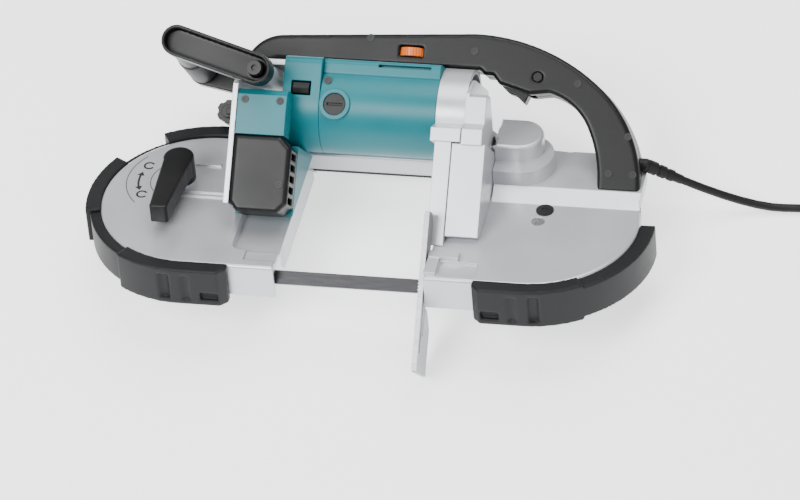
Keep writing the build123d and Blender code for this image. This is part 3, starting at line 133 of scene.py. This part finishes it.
def power_cord():
    """The cord from its guard down to the bench, round its coil and into its plug."""
    tail_x = COIL.x + COIL_OUT_R
    points = [GUARD_END, (0.3306, 0.062, CORD_R), (0.392, 0.066, CORD_R)]
    points += list(coil_points())
    points += [(tail_x + 0.0015, COIL.y - 0.038, 0.010), (tail_x + 0.005, COIL.y - 0.075, 0.012)]
    curve = bpy.data.curves.new("cord", "CURVE")
    curve.dimensions = "3D"
    curve.bevel_depth = 1.0
    curve.bevel_resolution = 5
    curve.resolution_u = 6
    curve.use_fill_caps = True
    spline = curve.splines.new("NURBS")
    spline.points.add(len(points) - 1)
    for point, place in zip(spline.points, points):
        point.co = (*place, 1)
        point.radius = CORD_R
    spline.order_u = 3
    spline.use_endpoint_u = True
    piece = bpy.data.objects.new("cord", curve)
    bpy.context.scene.collection.objects.link(piece)
    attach(piece, BODY)
    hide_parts("power_cord", "cord_coil")
    return piece


cord_piece = power_cord()


# ================================================================ materials
def shader(name, color, roughness, metallic=0.0, coat=0.0, edge=0.0006, gloss=0.5):
    """A new material with its own shader, its texture places and an edge-rounding normal."""
    material = bpy.data.materials.new(name)
    material.use_nodes = True
    tree = material.node_tree
    surface = tree.nodes["Principled BSDF"]
    surface.inputs["Base Color"].default_value = (*color, 1)
    surface.inputs["Roughness"].default_value = roughness
    surface.inputs["Metallic"].default_value = metallic
    surface.inputs["Coat Weight"].default_value = coat
    surface.inputs["Coat Roughness"].default_value = 0.25
    surface.inputs["Specular IOR Level"].default_value = gloss
    material.diffuse_color = (*color, 1)
    places = tree.nodes.new("ShaderNodeTexCoord")
    bevel = tree.nodes.new("ShaderNodeBevel")
    bevel.samples = 4
    bevel.inputs["Radius"].default_value = edge
    return material, tree, surface, places, bevel


def noise(tree, places, scale, detail=3.0, stretch=None):
    """Noise over the piece, scale counted per metre, stretched along an axis where asked."""
    texture = tree.nodes.new("ShaderNodeTexNoise")
    texture.inputs["Scale"].default_value = scale
    texture.inputs["Detail"].default_value = detail
    source = places.outputs["Object"]
    if stretch:
        mapping = tree.nodes.new("ShaderNodeMapping")
        mapping.inputs["Scale"].default_value = stretch
        tree.links.new(source, mapping.inputs["Vector"])
        source = mapping.outputs["Vector"]
    tree.links.new(source, texture.inputs["Vector"])
    return texture.outputs["Fac"]


def spread(tree, factor, low, high):
    """A number that runs from low to high over the middle of a noise."""
    node = tree.nodes.new("ShaderNodeMapRange")
    node.inputs["From Min"].default_value = 0.3
    node.inputs["From Max"].default_value = 0.7
    node.inputs["To Min"].default_value = low
    node.inputs["To Max"].default_value = high
    tree.links.new(factor, node.inputs["Value"])
    return node.outputs["Result"]


def tint(tree, factor, dark, light):
    """A colour between two by a noise."""
    ramp = tree.nodes.new("ShaderNodeValToRGB")
    ramp.color_ramp.elements[0].position = 0.3
    ramp.color_ramp.elements[1].position = 0.7
    ramp.color_ramp.elements[0].color = (*dark, 1)
    ramp.color_ramp.elements[1].color = (*light, 1)
    tree.links.new(factor, ramp.inputs["Fac"])
    return ramp.outputs["Color"]


def bump(tree, surface, bevel, height, strength, distance):
    """Fine relief over the rounded edges."""
    node = tree.nodes.new("ShaderNodeBump")
    node.inputs["Strength"].default_value = strength
    node.inputs["Distance"].default_value = distance
    tree.links.new(height, node.inputs["Height"])
    tree.links.new(bevel.outputs["Normal"], node.inputs["Normal"])
    tree.links.new(node.outputs["Normal"], surface.inputs["Normal"])


def shade(color, by):
    """The colour made lighter or darker by this factor."""
    return tuple(min(1.0, channel * by) for channel in color)


def moulded(name, color, roughness, grain=2600.0, strength=0.25, metallic=0.0, coat=0.0, edge=0.0006,
            mottle=0.06, gloss=0.5):
    """Moulded or cast surface: fine grain, a soft mottle of colour and uneven gloss."""
    material, tree, surface, places, bevel = shader(name, color, roughness, metallic, coat, edge, gloss)
    cloud = noise(tree, places, 22.0)
    fine = noise(tree, places, grain, 2.0)
    colour = tint(tree, cloud, shade(color, 1 - mottle), shade(color, 1 + mottle))
    tree.links.new(colour, surface.inputs["Base Color"])
    tree.links.new(spread(tree, cloud, roughness - 0.04, roughness + 0.05), surface.inputs["Roughness"])
    bump(tree, surface, bevel, fine, strength, 0.0001)
    return material


def brushed(name, color, roughness, stretch, strength=0.3, mottle=0.12):
    """Metal with grinding lines that run along the axis of least stretch."""
    material, tree, surface, places, bevel = shader(name, color, roughness, metallic=1.0, edge=0.0003)
    lines = noise(tree, places, 60.0, 4.0, stretch)
    tree.links.new(tint(tree, lines, shade(color, 1 - mottle), shade(color, 1 + mottle)),
                   surface.inputs["Base Color"])
    tree.links.new(spread(tree, lines, roughness - 0.07, roughness + 0.1), surface.inputs["Roughness"])
    bump(tree, surface, bevel, lines, strength, 0.00005)
    return material


MATERIALS = {
    "cast_paint": moulded("cast_paint", (0.56, 0.575, 0.60), 0.34, grain=1500, strength=0.18, metallic=0.55,
                          coat=0.1, edge=0.0012, mottle=0.02),
    "teal_plastic": moulded("teal_plastic", (0.0, 0.15, 0.18), 0.36, grain=2200, strength=0.2, edge=0.0012,
                            mottle=0.05, gloss=0.35),
    "black_plastic": moulded("black_plastic", (0.0035, 0.0035, 0.004), 0.36, grain=1700, strength=0.35,
                             edge=0.0012, mottle=0.2, gloss=0.28),
    "lever_black": moulded("lever_black", (0.003, 0.003, 0.0035), 0.36, grain=1700, strength=0.3, edge=0.001,
                           mottle=0.2, gloss=0.3),
    "bumper_rubber": moulded("bumper_rubber", (0.006, 0.0065, 0.0075), 0.48, grain=1300, strength=0.5,
                             edge=0.002, mottle=0.2, gloss=0.28),
    "tyre_rubber": moulded("tyre_rubber", (0.01, 0.01, 0.01), 0.7, gloss=0.3),
    "cord_rubber": moulded("cord_rubber", (0.004, 0.004, 0.0045), 0.5, grain=3000, edge=0.0003, gloss=0.3),
    "grey_grip": moulded("grey_grip", (0.035, 0.037, 0.04), 0.5, grain=1500, strength=0.5, edge=0.001,
                         mottle=0.08, gloss=0.3),
    "orange_plastic": moulded("orange_plastic", (0.80, 0.17, 0.01), 0.35, edge=0.0003),
    "stop_steel": brushed("stop_steel", (0.34, 0.35, 0.36), 0.38, (1, 1, 14)),
    "blade_steel": brushed("blade_steel", (0.045, 0.045, 0.048), 0.45, (1, 14, 14)),
    "gear_steel": brushed("gear_steel", (0.45, 0.45, 0.46), 0.3, (12, 1, 12)),
    "wheel_aluminium": moulded("wheel_aluminium", (0.5, 0.51, 0.52), 0.4, grain=900, metallic=1.0),
    "inner_plastic": moulded("inner_plastic", (0.03, 0.03, 0.033), 0.5, gloss=0.3),
    "brush_brass": brushed("brush_brass", (0.65, 0.45, 0.16), 0.3, (1, 10, 1)),
    "carbon": moulded("carbon", (0.02, 0.02, 0.02), 0.75, gloss=0.2),
    "tube_glass": moulded("tube_glass", (0.86, 0.9, 0.92), 0.2, coat=0.6, mottle=0.02),
    "screw_black": moulded("screw_black", (0.006, 0.006, 0.007), 0.4, edge=0.0002, gloss=0.4),
}
MARKING = moulded("marking", (0.02, 0.021, 0.023), 0.5, edge=0.0001, gloss=0.3)


def dress(piece, material):
    """Gives a piece one material."""
    piece.data.materials.clear()
    piece.data.materials.append(material)


slots = {entry["node"]: entry["material_slot"] for entry in frame["record"]["subparts"]}
for node, piece in frame["nodes"].items():
    dress(piece, MATERIALS[slots[node]])
dress(cord_piece, MATERIALS["cord_rubber"])


# ================================================================ pieces drawn here
SHARP_DEG = 35


def new_piece(name, bm, matrix, material):
    """A finished piece from a bmesh in millimetres, riding on the saw."""
    bmesh.ops.recalc_face_normals(bm, faces=bm.faces)
    mesh = bpy.data.meshes.new(name)
    bm.to_mesh(mesh)
    bm.free()
    mesh.transform(matrix)
    mesh.shade_smooth()
    mesh.set_sharp_from_angle(angle=radians(SHARP_DEG))
    piece = bpy.data.objects.new(name, mesh)
    bpy.context.scene.collection.objects.link(piece)
    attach(piece, BODY)
    dress(piece, material)


def softened(node, voxel, passes):
    """A node's shape with soft moulded edges, which stands for the node."""
    source = frame["nodes"][node]
    piece = bpy.data.objects.new(f"{node}_moulding", source.data.copy())
    bpy.context.scene.collection.objects.link(piece)
    remesh = piece.modifiers.new("remesh", "REMESH")
    remesh.mode = "VOXEL"
    remesh.voxel_size = voxel * MM
    relax = piece.modifiers.new("relax", "SMOOTH")
    relax.factor = 0.5
    relax.iterations = passes
    scene = bpy.context.evaluated_depsgraph_get()
    scene.update()
    mesh = bpy.data.meshes.new_from_object(piece.evaluated_get(scene))
    piece.modifiers.clear()
    piece.data = mesh
    mesh.shade_smooth()
    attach(piece, source["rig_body"])
    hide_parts(node)
    dress(piece, MATERIALS[slots[node]])


for node, voxel, passes in (
    ("bumper_left_front", 0.9, 6), ("bumper_right_front", 0.9, 6),
    ("bumper_left_rear", 0.9, 6), ("bumper_right_rear", 0.9, 6),
    ("handle_front_half", 0.9, 5), ("handle_rear_half", 1.1, 4),
    ("tension_lever", 0.7, 4), ("trigger", 0.6, 3),
    ("front_handle_near_arm", 0.8, 4), ("front_handle_far_arm", 0.9, 4), ("front_grip", 0.8, 5),
    ("lamp_housing", 0.8, 3),
):
    softened(node, voxel, passes)


def prism(bm, outline, low, high):
    """A closed prism over an outline, from one height to another."""
    base = [bm.verts.new((x, y, low)) for x, y in outline]
    top = [bm.verts.new((x, y, high)) for x, y in outline]
    bm.faces.new(base[::-1])
    bm.faces.new(top)
    for index in range(len(outline)):
        after = (index + 1) % len(outline)
        bm.faces.new((base[index], base[after], top[after], top[index]))


def on_circle(centre, radius, angle):
    """The point of a circle at this angle in degrees."""
    return centre[0] + radius * cos(radians(angle)), centre[1] + radius * sin(radians(angle))


def arc_band(centre, radius, width, start, stop, steps=24):
    """The outline of a curved stripe."""
    angles = [start + (stop - start) * step / steps for step in range(steps + 1)]
    outer = [on_circle(centre, radius + width / 2, angle) for angle in angles]
    inner = [on_circle(centre, radius - width / 2, angle) for angle in reversed(angles)]
    return outer + inner


ARCS = {"inner": 28, "middle": 39, "outer": 50}
LINE_WIDTH = 0.7
ARROW_WIDTH = 2.0
ARROW_HALF = 3.4
ARROW_LENGTH_DEG = 8
ARROW_FEET = ((174, -1), (198, 1))
RING_PLACES = (151, 216)
RING_RADIUS = 4.4
RING_WIDTH = 1.9


def lever_marking():
    """Plain arcs with an arrow at each end, printed on the face round the tension lever."""
    bm = bmesh.new()
    low, high = FACE_Z - 0.1, FACE_Z + 0.12
    middle = ARCS["middle"]
    first, last = ARROW_FEET[0][0], ARROW_FEET[1][0]
    prism(bm, arc_band(LEVER, ARCS["outer"], LINE_WIDTH, 140, 225), low, high)
    prism(bm, arc_band(LEVER, ARCS["inner"], LINE_WIDTH, 128, 236), low, high)
    prism(bm, arc_band(LEVER, middle, ARROW_WIDTH, first, last, 10), low, high)
    for angle, side in ARROW_FEET:
        head = [
            on_circle(LEVER, middle, angle + side * ARROW_LENGTH_DEG),
            on_circle(LEVER, middle + ARROW_HALF, angle),
            on_circle(LEVER, middle - ARROW_HALF, angle),
        ]
        prism(bm, head, low, high)
    for angle in RING_PLACES:
        spot = on_circle(LEVER, middle, angle)
        prism(bm, arc_band(spot, RING_RADIUS, RING_WIDTH, 30, 330, 18), low, high)
    new_piece("lever_marking", bm, SAW, MARKING)


lever_marking()


# ================================================================ floor and light
FLOOR_GLOW = 1.2


def floor():
    """A large pale floor under the saw."""
    bm = bmesh.new()
    bmesh.ops.create_grid(bm, x_segments=1, y_segments=1, size=30)
    mesh = bpy.data.meshes.new("floor")
    bm.to_mesh(mesh)
    bm.free()
    piece = bpy.data.objects.new("floor", mesh)
    piece.location.z = -0.0002
    bpy.context.scene.collection.objects.link(piece)
    material = moulded("floor", (0.93, 0.93, 0.935), 0.6, grain=300, strength=0.02, mottle=0.004)
    surface = material.node_tree.nodes["Principled BSDF"]
    surface.inputs["Emission Color"].default_value = (1, 1, 1, 1)
    surface.inputs["Emission Strength"].default_value = FLOOR_GLOW
    dress(piece, material)


def lamp(name, place, target, size, power):
    """A soft square light aimed at a point."""
    data = bpy.data.lights.new(name, "AREA")
    data.size = size
    data.energy = power
    light = bpy.data.objects.new(name, data)
    light.location = place
    light.rotation_euler = (Vector(target) - Vector(place)).to_track_quat("-Z", "Y").to_euler()
    bpy.context.scene.collection.objects.link(light)


floor()
lamp("key", (-1.0, -1.3, 2.2), (0, 0, 0.05), 1.3, 80)
lamp("fill", (1.8, -1.6, 1.4), (0, 0, 0.05), 2.0, 22)
lamp("top", (0.2, 0.9, 2.2), (0, 0, 0.05), 1.6, 48)
world = bpy.data.worlds.new("studio")
world.use_nodes = True
world.node_tree.nodes["Background"].inputs["Color"].default_value = (1, 1, 1, 1)
world.node_tree.nodes["Background"].inputs["Strength"].default_value = 0.5
bpy.context.scene.world = world

bpy.context.view_layer.update()
